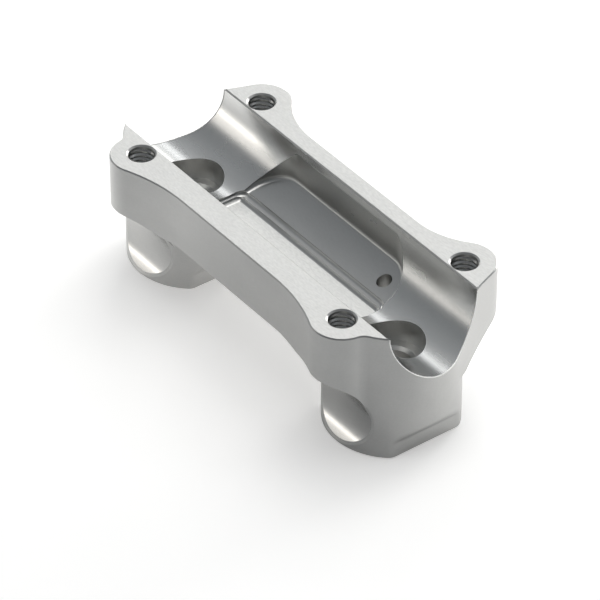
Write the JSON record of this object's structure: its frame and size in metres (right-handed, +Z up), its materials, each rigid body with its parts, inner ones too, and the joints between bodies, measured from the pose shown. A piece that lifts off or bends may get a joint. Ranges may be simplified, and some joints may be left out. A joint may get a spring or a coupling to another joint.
{
  "type": "handlebar mount",
  "caption": "Machined lower handlebar mount with a half-round bar channel, round feet and tapped bosses for the upper clamps.",
  "frame": {"origin": "on the floor under the bar's axis, midway between the two feet", "axes": "+X along the bar, +Y across it towards the straighter rail, +Z up out of the channel"},
  "size_m": [0.1166, 0.053, 0.0367],
  "materials": {
    "mount_body": "satin anodised, fine machining lines"
  },
  "bodies": {
    "root": {"mount_body": "mount_body"}
  },
  "joints": []
}
